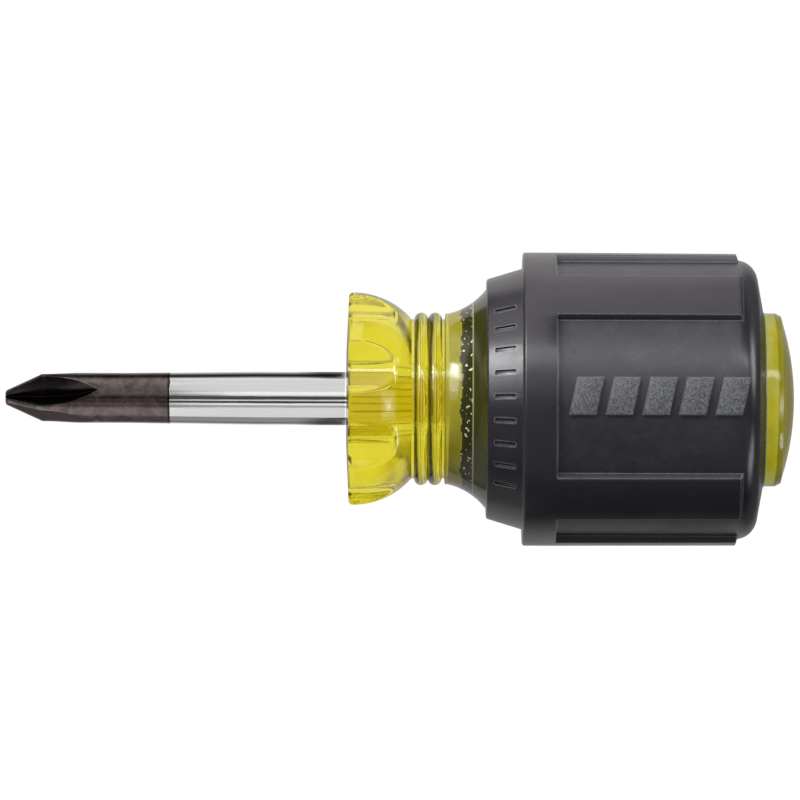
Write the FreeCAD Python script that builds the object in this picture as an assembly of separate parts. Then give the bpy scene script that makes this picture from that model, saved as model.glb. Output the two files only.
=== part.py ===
import FreeCAD, Part
import math
import os

# A stubby cross-recess screwdriver lying on its side, in millimetres.
# X runs along the tool: the tip is at -X, the butt at +X, and X = 0 is the flat seat of the bolster,
# where the shank enters the handle. The origin is on the tool's axis. +Z is up.
# Outlines are drawn as (x, radius) and turned about X. Angles are counted from +Z towards +Y.

# ---- blade: one piece of steel ----
blade_exposed = 37.64      # tip end to bolster seat
shank_r = 2.95             # ground land beside the handle
shank_land = 10.0          # length of that land
tip_shank_r = 2.77         # shank beside the tip, at the end of the long taper
taper_length = 14.0        # from the land down to tip_shank_r
nose_r = 0.58              # flat end of the tip
nose_length = 0.40         # rounded stretch behind the flat end
nose_end_r = 0.95          # where the rounded stretch meets the cone
tip_cone_angle = 26.5      # half angle of the tip cone

flute_count = 4
flute_angle = 90.0         # included angle of each V groove
flute_root_r = 0.36        # bottom of the grooves, from the axis
flute_straight = 3.9       # groove length before it runs out
flute_cutter_r = 10.0      # radius of the run-out
flute_turn = 19.0          # direction of the first groove

tang_r = 2.70              # the blade inside the handle
tang_length = 30.0
flange_start = 19.0        # forged wings that stop the blade turning
flange_length = 8.0
flange_width = 9.6
flange_thickness = 1.8

# ---- handle core: transparent acetate ----
blade_fit = 0.02           # gap between the steel and the moulded core
mouth_gap = 0.25           # countersink round the shank, at the seat
mouth_depth = 0.50
seat_r = 5.5               # flat seat round the shank
rim_setback = 0.45         # the face falls back from the seat to the rim
rim_round = 0.50           # rounding of the rim
bolster_r = 11.76
bolster_length = 7.30      # seat to the groove in front of the beads
groove_r = 8.82            # groove floor beside the beads
bead_count = 2
bead_pitch = 1.53
bead_r = 0.74              # half round section of each bead
groove_width = 0.30
neck_r = 9.42              # neck behind the beads
neck_length = 4.60         # to the grip
flare_rise_share = 0.28    # share of the flare's rise reached halfway along it
spigot_r = 12.20           # core inside the cushion grip
spigot_length = 28.4
butt_r = 9.58
butt_band = 1.62           # butt standing out of the grip, up to its bevel
butt_bevel = 0.42          # along X
butt_bevel_depth = 1.00    # along the radius
dome_height = 1.31

scallop_count = 8
scallop_turn = 16.5        # direction of the first scallop
scallop_cutter_r = 4.10
scallop_floor_r = 10.25    # deepest line of each scallop, from the axis
scallop_length = 5.40      # from the seat to the end wall

# ---- cushion grip: rubber sleeve ----
sleeve_fit = 0.03          # gap between the sleeve and the core
front_lip = 1.03           # wall at the front edge of the collar
collar_length = 4.00
collar_rise = 1.22         # the collar widens by this along its length
barrel_wall = 3.24         # wall between the ribs
band_length = 3.70
band_rise = 0.79           # band above the barrel
rear_wall = 2.28           # behind the spigot
rear_hole_fit = 0.05       # radial gap between the butt and the sleeve's rear hole
shoulder_round = 2.40      # rounding of the rear shoulder
rear_sag = 1.20            # the rear face falls from its hole to the shoulder by this

rib_rise = 0.69            # ribs above the barrel
rib_half_width = 3.20      # at the crown of a rib
rib_draft = 15.0           # slope of the rib's sides, degrees
rib_side_setback = 2.91    # from the rear face to the foot of a side rib's end
rib_diagonal_setback = 2.51    # the same, ribs beside the panels
rib_end_slope = 0.35       # how far a rib's end leans, along X

pad_count = 5              # raised pads on the two broad panels
pad_gap = 1.10             # between two pads, along X
pad_height = 4.10          # across the panel
pad_slant = 0.90           # shift of a pad's upper edge along X
pad_rise = 0.50
pad_front_margin = 1.25    # band to the first pad
pad_rear_margin = 2.00     # last pad to the rear face

tick_count = 9             # short grooves pressed into the collar, on two sides
tick_pitch = 11.0          # degrees
tick_width = 0.55
tick_length = 2.40
tick_depth = 0.35

# ---- places and radii that follow from the sizes above ----
tip_x = -blade_exposed
taper_start = -shank_land
bead_start = bolster_length + groove_width
bead_end = bead_start + bead_count * bead_pitch
neck_start = bead_end + groove_width
grip_x = neck_start + neck_length
spigot_end = grip_x + spigot_length
sleeve_end = spigot_end + sleeve_fit + rear_wall
butt_end = sleeve_end + butt_band
bevel_end = butt_end + butt_bevel
dome_x = bevel_end + dome_height
collar_end = grip_x + collar_length
band_end = collar_end + band_length

bore_r = spigot_r + sleeve_fit
collar_front_r = spigot_r + front_lip
collar_rear_r = collar_front_r + collar_rise
barrel_r = spigot_r + barrel_wall
band_r = barrel_r + band_rise
rib_r = barrel_r + rib_rise
rear_hole_r = butt_r + rear_hole_fit

pad_start = band_end + pad_front_margin
pad_row = sleeve_end - pad_rear_margin - pad_start
pad_pitch = (pad_row - pad_slant + pad_gap) / pad_count
pad_length = pad_pitch - pad_gap


def point(x, r):
    return FreeCAD.Vector(x, r, 0)


def line(a, b):
    return Part.LineSegment(point(*a), point(*b)).toShape()


def arc(a, middle, b):
    return Part.Arc(point(*a), point(*middle), point(*b)).toShape()


def chain(*corners):
    """Straight edges through the given (x, radius) corners."""
    return [line(a, b) for a, b in zip(corners, corners[1:])]


def turned(edges):
    """The closed outline as a solid of revolution about X."""
    axis = FreeCAD.Vector(1, 0, 0)
    return Part.Face(Part.Wire(edges)).revolve(FreeCAD.Vector(), axis, 360)


def facing(shape, angle):
    """A copy of a shape drawn at +Z, turned towards +Y by the angle."""
    copy = shape.copy()
    copy.rotate(FreeCAD.Vector(), FreeCAD.Vector(1, 0, 0), -angle)
    return copy


# ---- blade ----
def blade_blank():
    """Tip cone, tapered shank, ground land and the tang inside the handle."""
    cone_length = (tip_shank_r - nose_end_r) / math.tan(math.radians(tip_cone_angle))
    cone_x = tip_x + nose_length
    shoulder_x = cone_x + cone_length
    nose_middle = (tip_x + 0.3 * nose_length, nose_r + 0.6 * (nose_end_r - nose_r))
    edges = [line((tip_x, 0), (tip_x, nose_r))]
    edges.append(arc((tip_x, nose_r), nose_middle, (cone_x, nose_end_r)))
    edges += chain(
        (cone_x, nose_end_r),
        (shoulder_x, tip_shank_r),
        (taper_start - taper_length, tip_shank_r),
        (taper_start, shank_r),
        (0, shank_r),
        (0, tang_r),
        (tang_length, tang_r),
        (tang_length, 0),
        (tip_x, 0),
    )
    return turned(edges)


def flute():
    """One V groove at +Z: straight from the tip, then out along the cutter's arc."""
    depth = 1.3 * shank_r
    half = depth * math.tan(math.radians(flute_angle / 2))
    run_x = tip_x + flute_straight
    root = FreeCAD.Vector(run_x, 0, flute_root_r)
    left = FreeCAD.Vector(run_x, -half, flute_root_r + depth)
    right = FreeCAD.Vector(run_x, half, flute_root_r + depth)
    section = Part.Face(Part.makePolygon([root, left, right, root]))
    straight = section.extrude(FreeCAD.Vector(-flute_straight - 1, 0, 0))
    centre = FreeCAD.Vector(run_x, 0, flute_root_r + flute_cutter_r)
    run_out = section.revolve(centre, FreeCAD.Vector(0, 1, 0), -80)
    return straight.fuse(run_out)


def flange(gap):
    """The forged wings of the tang, grown by a gap all round."""
    length = flange_length + 2 * gap
    width = flange_width + 2 * gap
    thickness = flange_thickness + 2 * gap
    corner = FreeCAD.Vector(flange_start - gap, -width / 2, -thickness / 2)
    return Part.makeBox(length, width, thickness, corner)


def blade():
    shape = blade_blank().fuse(flange(0))
    groove = flute()
    for index in range(flute_count):
        shape = shape.cut(facing(groove, flute_turn + index * 360 / flute_count))
    return shape.removeSplitter()


# ---- handle core ----
def bolster_edges():
    """From the seat round the rim and down the bowl of the bolster to the groove."""
    rim_x = rim_setback + rim_round
    face_rim = (rim_setback, bolster_r - rim_round)
    diagonal = rim_round * math.sqrt(0.5)
    rim_middle = (rim_x - diagonal, bolster_r - rim_round + diagonal)
    run = bolster_length - rim_x
    drop = bolster_r - groove_r
    bowl_r = (run * run + drop * drop) / (2 * drop)
    middle_fall = bowl_r - math.sqrt(bowl_r * bowl_r - run * run / 4)
    bowl_middle = (rim_x + run / 2, bolster_r - middle_fall)
    edges = [line((0, seat_r), face_rim)]
    edges.append(arc(face_rim, rim_middle, (rim_x, bolster_r)))
    edges.append(arc((rim_x, bolster_r), bowl_middle, (bolster_length, groove_r)))
    return edges


def bead_edges():
    """The groove, the half round beads and the groove behind them."""
    edges = [line((bolster_length, groove_r), (bead_start, groove_r))]
    for index in range(bead_count):
        start = bead_start + index * bead_pitch
        end = start + bead_pitch
        crest = (start + bead_pitch / 2, groove_r + bead_r)
        edges.append(arc((start, groove_r), crest, (end, groove_r)))
    edges += chain((bead_end, groove_r), (neck_start, groove_r), (neck_start, neck_r))
    return edges


def neck_edges():
    """The neck flares out to the spigot radius where the grip begins."""
    rise = spigot_r - neck_r
    middle = (neck_start + neck_length / 2, neck_r + flare_rise_share * rise)
    return [arc((neck_start, neck_r), middle, (grip_x, spigot_r))]


def butt_edges():
    """Spigot, butt band, bevel and dome, back to the axis."""
    dome_r = butt_r - butt_bevel_depth
    sphere_r = (dome_r * dome_r + dome_height * dome_height) / (2 * dome_height)
    half_r = dome_r / 2
    middle_x = dome_x - sphere_r + math.sqrt(sphere_r * sphere_r - half_r * half_r)
    edges = chain(
        (grip_x, spigot_r),
        (spigot_end, spigot_r),
        (spigot_end, butt_r),
        (butt_end, butt_r),
        (bevel_end, dome_r),
    )
    edges.append(arc((bevel_end, dome_r), (middle_x, half_r), (dome_x, 0)))
    return edges


def scallop():
    """Thumb scallop at +Z: a round cutter laid along the tool, stopped by a flat end wall."""
    cutter_z = scallop_floor_r + scallop_cutter_r
    start = FreeCAD.Vector(-1, 0, cutter_z)
    return Part.makeCylinder(scallop_cutter_r, scallop_length + 1, start, FreeCAD.Vector(1, 0, 0))


def tang_socket():
    """The hole that the moulding leaves round the tang and its flange, countersunk at its mouth."""
    axis = FreeCAD.Vector(1, 0, 0)
    socket_r = tang_r + blade_fit
    bore = Part.makeCylinder(socket_r, tang_length + blade_fit, FreeCAD.Vector(), axis)
    mouth = Part.makeCone(shank_r + mouth_gap, socket_r, mouth_depth, FreeCAD.Vector(), axis)
    return bore.fuse(mouth).fuse(flange(blade_fit))


def handle_core():
    edges = [line((0, 0), (0, seat_r))]
    edges += bolster_edges() + bead_edges() + neck_edges() + butt_edges()
    edges.append(line((dome_x, 0), (0, 0)))
    shape = turned(edges)
    for index in range(scallop_count):
        shape = shape.cut(facing(scallop(), scallop_turn + index * 360 / scallop_count))
    return shape.cut(tang_socket()).removeSplitter()


# ---- cushion grip ----
def sleeve_blank():
    """Collar, band, barrel and rounded rear shoulder, bored to fit the core."""
    pocket_x = spigot_end + sleeve_fit
    corner = (sleeve_end - rear_sag, barrel_r)
    face_middle = (sleeve_end - 0.3 * rear_sag, (rear_hole_r + barrel_r) / 2)
    edges = chain(
        (grip_x, bore_r),
        (grip_x, collar_front_r),
        (collar_end, collar_rear_r),
        (collar_end, band_r),
        (band_end, band_r),
        (band_end, barrel_r),
        corner,
    )
    edges.append(arc(corner, face_middle, (sleeve_end, rear_hole_r)))
    edges += chain(
        (sleeve_end, rear_hole_r),
        (pocket_x, rear_hole_r),
        (pocket_x, bore_r),
        (grip_x, bore_r),
    )
    blank = turned(edges)
    return blank.makeFillet(shoulder_round, [shoulder_edge(blank, corner)])


def shoulder_edge(blank, corner):
    """The circular edge that turns about X through the given corner."""
    for edge in blank.Edges:
        box = edge.BoundBox
        flat = box.XLength < 1e-6 and abs(box.XMin - corner[0]) < 1e-6
        if flat and abs(box.ZMax - corner[1]) < 1e-6:
            return edge
    raise ValueError("the sleeve has no shoulder edge")


def rib(setback):
    """One grip rib at +Z: a ring slice with drafted sides and a leaning rear end."""
    start_x = band_end - 0.5 * band_length
    foot_x = sleeve_end - setback
    root_r = barrel_r - 0.15 * barrel_wall
    root_x = foot_x + rib_end_slope / rib_rise * (barrel_r - root_r)
    ring = turned(
        chain(
            (start_x, root_r),
            (start_x, rib_r),
            (foot_x - rib_end_slope, rib_r),
            (root_x, root_r),
            (start_x, root_r),
        )
    )
    spread = math.tan(math.radians(rib_draft))
    foot_half = rib_half_width + spread * rib_r
    top_half = rib_half_width - spread * rib_rise
    top_z = rib_r + rib_rise
    corners = [
        FreeCAD.Vector(start_x, -foot_half, 0),
        FreeCAD.Vector(start_x, foot_half, 0),
        FreeCAD.Vector(start_x, top_half, top_z),
        FreeCAD.Vector(start_x, -top_half, top_z),
        FreeCAD.Vector(start_x, -foot_half, 0),
    ]
    wedge = Part.Face(Part.makePolygon(corners)).extrude(FreeCAD.Vector(sleeve_end - start_x, 0, 0))
    return ring.common(wedge)


def pads():
    """The row of slanted pads on the panel at +Z, with a crown concentric with the barrel."""
    root_r = barrel_r - 0.15 * barrel_wall
    crown_r = barrel_r + pad_rise
    shell = turned(
        chain(
            (band_end, root_r),
            (band_end, crown_r),
            (sleeve_end, crown_r),
            (sleeve_end, root_r),
            (band_end, root_r),
        )
    )
    row = []
    for index in range(pad_count):
        x = pad_start + index * pad_pitch
        low = -pad_height / 2
        high = pad_height / 2
        corners = [
            FreeCAD.Vector(x, low, 0),
            FreeCAD.Vector(x + pad_length, low, 0),
            FreeCAD.Vector(x + pad_length + pad_slant, high, 0),
            FreeCAD.Vector(x + pad_slant, high, 0),
            FreeCAD.Vector(x, low, 0),
        ]
        block = Part.Face(Part.makePolygon(corners)).extrude(FreeCAD.Vector(0, 0, 2 * barrel_r))
        row.append(block.common(shell))
    return row


def tick():
    """A short groove across the collar at +Z, sunk below the collar's sloping face."""
    middle_x = grip_x + collar_length / 2
    middle_r = (collar_front_r + collar_rear_r) / 2
    corner = FreeCAD.Vector(-tick_length / 2, -tick_width / 2, -tick_depth)
    box = Part.makeBox(tick_length, tick_width, tick_depth + 1, corner)
    slope = math.degrees(math.atan2(collar_rear_r - collar_front_r, collar_length))
    box.rotate(FreeCAD.Vector(), FreeCAD.Vector(0, 1, 0), -slope)
    box.translate(FreeCAD.Vector(middle_x, 0, middle_r))
    return box


def cushion_grip():
    shape = sleeve_blank()
    for angle in (90, 270):
        shape = shape.fuse(facing(rib(rib_side_setback), angle))
    for angle in (45, 135, 225, 315):
        shape = shape.fuse(facing(rib(rib_diagonal_setback), angle))
    for side in (0, 180):
        for pad in pads():
            shape = shape.fuse(facing(pad, side))
        for index in range(tick_count):
            turn = (index - (tick_count - 1) / 2) * tick_pitch
            shape = shape.cut(facing(tick(), side + turn))
    return shape.removeSplitter()


os.makedirs("parts", exist_ok=True)
for name, make in (("blade", blade), ("handle_core", handle_core), ("cushion_grip", cushion_grip)):
    shape = make()
    shape.exportStep("parts/" + name + ".step")
    print(name, len(shape.Solids), "solid, valid", shape.isValid(), "volume", round(shape.Volume, 1), "mm3")
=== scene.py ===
# %% [markdown]
# # A stubby screwdriver, dressed round its CAD frame
# The tool is three real pieces: a steel blade, a clear yellow handle core moulded round its tang,
# and a black rubber sleeve. The CAD model already holds their places and sizes, so this file
# only makes their looks: finer meshes in the same space, materials, light and a camera.
# The frame is loaded first, because every place below is read from it.

# %% Load the frame
import math
import bpy
import bmesh
from mathutils import Matrix, Vector


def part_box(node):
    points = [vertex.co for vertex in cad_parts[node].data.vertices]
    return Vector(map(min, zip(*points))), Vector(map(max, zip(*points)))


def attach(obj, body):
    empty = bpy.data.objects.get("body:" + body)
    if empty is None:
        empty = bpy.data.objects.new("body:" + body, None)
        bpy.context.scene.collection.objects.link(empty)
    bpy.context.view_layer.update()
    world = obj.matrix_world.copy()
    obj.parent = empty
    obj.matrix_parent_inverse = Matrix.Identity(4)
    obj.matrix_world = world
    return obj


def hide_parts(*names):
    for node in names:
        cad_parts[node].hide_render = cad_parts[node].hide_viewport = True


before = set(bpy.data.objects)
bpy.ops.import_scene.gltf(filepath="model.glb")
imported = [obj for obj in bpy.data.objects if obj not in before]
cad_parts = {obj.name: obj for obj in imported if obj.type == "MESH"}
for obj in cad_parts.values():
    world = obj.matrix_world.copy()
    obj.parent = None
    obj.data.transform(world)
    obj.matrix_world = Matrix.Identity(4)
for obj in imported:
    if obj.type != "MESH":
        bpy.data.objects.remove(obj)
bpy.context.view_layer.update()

blade_low, blade_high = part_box("blade")
core_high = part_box("handle_core")[1]
sleeve_low, sleeve_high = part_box("cushion_grip")

# %% [markdown]
# ## Sizes
# Lengths are metres, written as millimetres times MM. X runs along the tool from tip to butt and
# X = 0 is the bolster's seat. Angles are degrees about X, counted from +Z towards +Y.
# The three boxes of the frame give the outer sizes. The rest are the sizes of the features.

# %% Sizes that come from the frame
MM = 0.001
tip_x = blade_low.x
tang_end = blade_high.x
dome_x = core_high.x
grip_x = sleeve_low.x
sleeve_end = sleeve_high.x
print("tip", round(tip_x / MM, 2), "grip", round(grip_x / MM, 2), "butt", round(dome_x / MM, 2))

# %% Sizes of the blade's features
shank_r = 2.95 * MM
shank_land = 10.0 * MM
tip_shank_r = 2.77 * MM
taper_length = 14.0 * MM
nose_r = 0.58 * MM
nose_length = 0.40 * MM
nose_end_r = 0.95 * MM
tip_cone_angle = 26.5        # half angle of the point
flute_count = 4
flute_root_r = 0.36 * MM
flute_straight = 3.9 * MM
flute_cutter_r = 10.0 * MM
flute_turn = 19.0
flute_edge_break = 0.05 * MM
tang_r = 2.70 * MM
tang_chamfer = 0.30 * MM
wing_start = 19.0 * MM
wing_length = 8.0 * MM
wing_width = 9.6 * MM
wing_thickness = 1.8 * MM
wing_chamfer = 0.30 * MM
black_end = -19.4 * MM       # the blackened finish of the tip stops here

# %% Sizes of the core's features
fit = 0.02 * MM              # steel to core
seat_r = 5.5 * MM
face_x = 0.10 * MM           # the face stands this far inside the CAD seat plane
rim_setback = 0.36 * MM
rim_round = 0.50 * MM
bolster_r = 11.76 * MM
bolster_length = 7.30 * MM
groove_r = 8.82 * MM
groove_width = 0.30 * MM
bead_pitch = 1.53 * MM
bead_r = 0.74 * MM
bead_count = 2
neck_r = 9.42 * MM
neck_round = 0.20 * MM
neck_start = bolster_length + 2 * groove_width + bead_count * bead_pitch
spigot_r = 12.20 * MM
flare_rise_share = 0.28
butt_r = 9.58 * MM
butt_bevel = 0.42 * MM
butt_bevel_depth = 1.00 * MM
facet_start = 0.40 * MM      # a facet before the bevel starts this far ahead of it
facet_end = 0.24 * MM        # and ends this far into it
facet_depth = 0.32 * MM
dome_height = 1.31 * MM
scallop_count = 8
scallop_turn = 16.5
scallop_cutter_r = 4.10 * MM
scallop_floor_r = 10.25 * MM
scallop_end = 5.40 * MM

# %% Sizes of the sleeve's features
sleeve_fit = 0.03 * MM
bore_r = spigot_r + sleeve_fit
rear_hole_fit = 0.05 * MM
rear_hole_r = butt_r + rear_hole_fit
rear_wall = 2.28 * MM
pocket_x = sleeve_end - rear_wall
spigot_end = pocket_x - sleeve_fit
collar_front_r = 13.23 * MM
collar_rear_r = 14.45 * MM
collar_length = 4.00 * MM
collar_end = grip_x + collar_length
band_length = 3.70 * MM
band_end = collar_end + band_length
band_r = 16.23 * MM
lip_round = 0.30 * MM        # front edge of the collar
collar_round = 0.15 * MM     # collar to the band's front face
band_front_round = 0.28 * MM
band_rear_round = 0.14 * MM
barrel_r = 15.44 * MM
rib_r = 16.13 * MM
foot_round = 0.10 * MM       # band's rear face to the barrel
shoulder_round = 2.40 * MM
rear_sag = 1.20 * MM
hole_chamfer = 0.12 * MM
rib_half_angle = 11.25
side_rib_setback = 2.91 * MM
diagonal_rib_setback = 2.51 * MM
rib_edge_round = 0.11 * MM
pad_count = 5
pad_height = 4.10 * MM
pad_slant = 0.90 * MM
pad_gap = 1.10 * MM
pad_rise = 0.50 * MM
pad_edge_round = 0.07 * MM
pad_front_margin = 1.25 * MM
pad_rear_margin = 2.00 * MM
pad_start = band_end + pad_front_margin
pad_pitch = (sleeve_end - pad_rear_margin - pad_start - pad_slant + pad_gap) / pad_count
tick_count = 9
tick_pitch = 11.0
tick_width = 0.55 * MM
tick_length = 2.40 * MM
tick_depth = 0.35 * MM
tick_round = 0.12 * MM

# %% [markdown]
# ## Turning outlines
# Nearly everything here is a turned shape, so the first helper draws an outline as a chain of
# vertices and spins it, as on a lathe. Round stretches of an outline come from two more helpers:
# an arc through three points, and a fillet that rounds a corner between two straight lines.


# %% Helpers for outlines
def arc(start, middle, end, count):
    """Points on the circle through three (x, radius) points, after the start and up to the end."""
    a, b, c = complex(*start), complex(*middle), complex(*end)
    w = (c - a) / (b - a)
    centre = a + (b - a) * (w - abs(w) ** 2) / (2j * w.imag)
    first = math.atan2((a - centre).imag, (a - centre).real)
    sweep_b = (math.atan2((b - centre).imag, (b - centre).real) - first) % math.tau
    sweep_c = (math.atan2((c - centre).imag, (c - centre).real) - first) % math.tau
    if sweep_b > sweep_c:
        sweep_c -= math.tau
    radius = abs(a - centre)
    turns = [first + sweep_c * (i + 1) / count for i in range(count)]
    return [(centre.real + radius * math.cos(t), centre.imag + radius * math.sin(t)) for t in turns]


def fillet(before, corner, after, radius, count):
    """The points that round a corner of an outline with a tangent arc."""
    corner = Vector(corner)
    one = (Vector(before) - corner).normalized()
    two = (Vector(after) - corner).normalized()
    half = one.angle(two) / 2
    start = corner + one * radius / math.tan(half)
    end = corner + two * radius / math.tan(half)
    centre = corner + (one + two).normalized() * radius / math.sin(half)
    middle = centre + (corner - centre).normalized() * radius
    return [tuple(start)] + arc(tuple(start), tuple(middle), tuple(end), count)


def straight(start, end, count):
    """Evenly spaced points along a line, after the start and up to the end."""
    a, b = Vector(start), Vector(end)
    return [tuple(a.lerp(b, (i + 1) / count)) for i in range(count)]


# %% Helpers for hand work
def deselect():
    """Back to object mode with nothing selected, so that an operator acts only on what is next."""
    if bpy.context.mode != "OBJECT":
        bpy.ops.object.mode_set(mode="OBJECT")
    bpy.ops.object.select_all(action="DESELECT")


def only(piece):
    """Makes one object the selected and active one."""
    deselect()
    piece.select_set(True)
    bpy.context.view_layer.objects.active = piece


def freeze(piece):
    """Puts the object's place and turn into its mesh."""
    only(piece)
    bpy.ops.object.transform_apply(location=True, rotation=True, scale=True)


def turned(name, outline, steps):
    """Draws an outline of (x, radius) points above the axis and spins it about X."""
    deselect()
    x, r = outline[0]
    bpy.ops.mesh.primitive_plane_add(size=MM, location=(x, 0, r))
    piece = bpy.context.object
    piece.name = name
    piece.data.name = name
    freeze(piece)
    bpy.ops.object.mode_set(mode="EDIT")
    bpy.ops.mesh.select_mode(type="VERT")
    bpy.ops.mesh.select_all(action="SELECT")
    bpy.ops.mesh.merge(type="CENTER")
    for (x0, r0), (x1, r1) in zip(outline, outline[1:]):
        bpy.ops.mesh.extrude_vertices_move(TRANSFORM_OT_translate={"value": (x1 - x0, 0, r1 - r0)})
    bpy.ops.mesh.select_all(action="SELECT")
    bpy.ops.mesh.spin(steps=steps, angle=math.tau, center=(0, 0, 0), axis=(1, 0, 0))
    bpy.ops.mesh.select_all(action="SELECT")
    bpy.ops.mesh.remove_doubles(threshold=0.001 * MM)
    bpy.ops.mesh.normals_make_consistent(inside=False)
    bpy.ops.object.mode_set(mode="OBJECT")
    return piece


def modify(piece, kind, **settings):
    """Adds a modifier with these settings and applies it."""
    only(piece)
    modifier = piece.modifiers.new(kind.lower(), kind)
    for key, value in settings.items():
        setattr(modifier, key, value)
    bpy.ops.object.modifier_apply(modifier=modifier.name)


def combine(piece, tool, operation):
    """Boolean of two solids. The tool is used up."""
    modify(piece, "BOOLEAN", object=tool, operation=operation, solver="EXACT")
    bpy.data.objects.remove(tool)


def join(pieces):
    """Joins objects into the first of them."""
    only(pieces[0])
    for piece in pieces:
        piece.select_set(True)
    bpy.ops.object.join()
    return bpy.context.object


def turn_copy(piece, angle):
    """A copy with its own mesh, turned about X from +Z towards +Y."""
    copy = piece.copy()
    copy.data = piece.data.copy()
    bpy.context.collection.objects.link(copy)
    copy.data.transform(Matrix.Rotation(math.radians(-angle), 4, "X"))
    return copy


def report(piece):
    """Prints what a mesh holds and whether it is closed."""
    uses = [0] * len(piece.data.edges)
    for loop in piece.data.loops:
        uses[loop.edge_index] += 1
    open_edges = sum(use != 2 for use in uses)
    print(piece.name, len(piece.data.polygons), "faces,", open_edges, "edges not shared by two")

# %% [markdown]
# ## Blade
# The real blade is a ground round bar. Its tip is turned to a cone and four V grooves are milled
# into it by a disc cutter, which leaves the curved run-outs. So the bar is spun, the cutter is a
# V-shaped bar bent along the disc's path, and a boolean does the milling, as the machine would.


# %% Turn the blade
shank_end = face_x - fit


def blade_outline():
    """Rounded nose, cone, shank with its long taper and land, and the tang to its chamfered end."""
    cone_x = tip_x + nose_length
    cone_length = (tip_shank_r - nose_end_r) / math.tan(math.radians(tip_cone_angle))
    shoulder = (cone_x + cone_length, tip_shank_r)
    taper_start = -shank_land
    outline = [(tip_x, 0), (tip_x, nose_r)]
    nose_middle = (tip_x + 0.3 * nose_length, nose_r + 0.6 * (nose_end_r - nose_r))
    outline += arc(outline[-1], nose_middle, (cone_x, nose_end_r), 4)
    outline += straight(outline[-1], shoulder, 6)
    outline += straight(outline[-1], (taper_start - taper_length, tip_shank_r), 6)
    outline += straight(outline[-1], (taper_start, shank_r), 4)
    outline += [(shank_end, shank_r), (shank_end, tang_r)]
    outline += straight(outline[-1], (tang_end - tang_chamfer, tang_r), 4)
    outline += [(tang_end, tang_r - tang_chamfer), (tang_end, 0)]
    return outline


blade = turned("screwdriver_blade", blade_outline(), 96)
report(blade)


# %% Shape the flute cutter
def flute_cutter():
    """A V bar along the groove's straight stretch, then out along the disc cutter's path."""
    depth = 1.4 * shank_r
    start_x = tip_x - 1 * MM
    run_x = tip_x + flute_straight
    deselect()
    bpy.ops.mesh.primitive_circle_add(vertices=3, radius=depth, fill_type="NGON")
    cutter = bpy.context.object
    corners = [(0, 0, 0), (0, depth, depth), (0, -depth, depth)]
    for vertex, corner in zip(cutter.data.vertices, corners):
        vertex.co = Vector(corner) + Vector((start_x, 0, flute_root_r))
    bpy.ops.object.mode_set(mode="EDIT")
    bpy.ops.mesh.select_all(action="SELECT")
    bpy.ops.mesh.extrude_region_move(TRANSFORM_OT_translate={"value": (run_x - start_x, 0, 0)})
    centre = (run_x, 0, flute_root_r + flute_cutter_r)
    bpy.ops.mesh.spin(steps=40, angle=math.radians(75), center=centre, axis=(0, 1, 0))
    bpy.ops.mesh.select_all(action="SELECT")
    bpy.ops.mesh.normals_make_consistent(inside=False)
    bpy.ops.object.mode_set(mode="OBJECT")
    return cutter


cutter = flute_cutter()
report(cutter)

# %% Mill the four flutes
for index in range(flute_count):
    combine(blade, turn_copy(cutter, flute_turn + 360 / flute_count * index), "DIFFERENCE")
bpy.data.objects.remove(cutter)
report(blade)


# %% Break the flutes' sharp edges
def select_edges(piece, wanted):
    """Selects the edges whose middle point and angle between faces pass the test."""
    only(piece)
    bpy.ops.object.mode_set(mode="EDIT")
    bpy.ops.mesh.select_mode(type="EDGE")
    bpy.ops.mesh.select_all(action="DESELECT")
    mesh = bmesh.from_edit_mesh(piece.data)
    count = 0
    for edge in mesh.edges:
        middle = (edge.verts[0].co + edge.verts[1].co) / 2
        if len(edge.link_faces) == 2 and wanted(middle, edge):
            edge.select = True
            count += 1
    bmesh.update_edit_mesh(piece.data)
    return count


def flute_edge(middle, edge):
    """Sharp convex edges of the flutes, where a face's normal leans round the axis."""
    sharp = edge.calc_face_angle_signed() > math.radians(12)
    near_tip = middle.x < tip_x + 12 * MM
    faces_turn = max(abs(face.normal.y * middle.z - face.normal.z * middle.y) for face in edge.link_faces)
    return sharp and near_tip and faces_turn > 0.3 * Vector((middle.y, middle.z)).length


print(select_edges(blade, flute_edge), "edges broken")
bpy.ops.mesh.bevel(offset=flute_edge_break, segments=2, affect="EDGES", clamp_overlap=True)
bpy.ops.object.mode_set(mode="OBJECT")
report(blade)

# %% Forge the wings on the tang
deselect()
wing_middle = (wing_start + wing_length / 2, 0, 0)
bpy.ops.mesh.primitive_cube_add(size=1, location=wing_middle)
wings = bpy.context.object
wings.scale = (wing_length, wing_width, wing_thickness)
freeze(wings)
bpy.ops.object.mode_set(mode="EDIT")
bpy.ops.mesh.select_all(action="SELECT")
bpy.ops.mesh.bevel(offset=wing_chamfer, segments=2, affect="EDGES")
bpy.ops.object.mode_set(mode="OBJECT")
combine(blade, wings, "UNION")
report(blade)

# %% [markdown]
# ## Handle core
# The core is one clear moulding: bolster, two beads, a flared neck, the spigot inside the grip
# and the domed butt. Clear plastic shows every flaw of its faces, so the thumb scallops are not
# cut with a boolean, which leaves long thin faces. The outline is spun with narrow steps and the
# rings of the bolster are then drawn in to the scallop cutter's radius, softly rounded.


# %% Turn the core
mouth_r = shank_r + 0.25 * MM
mouth_depth = 0.50 * MM
socket_r = tang_r + fit


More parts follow.
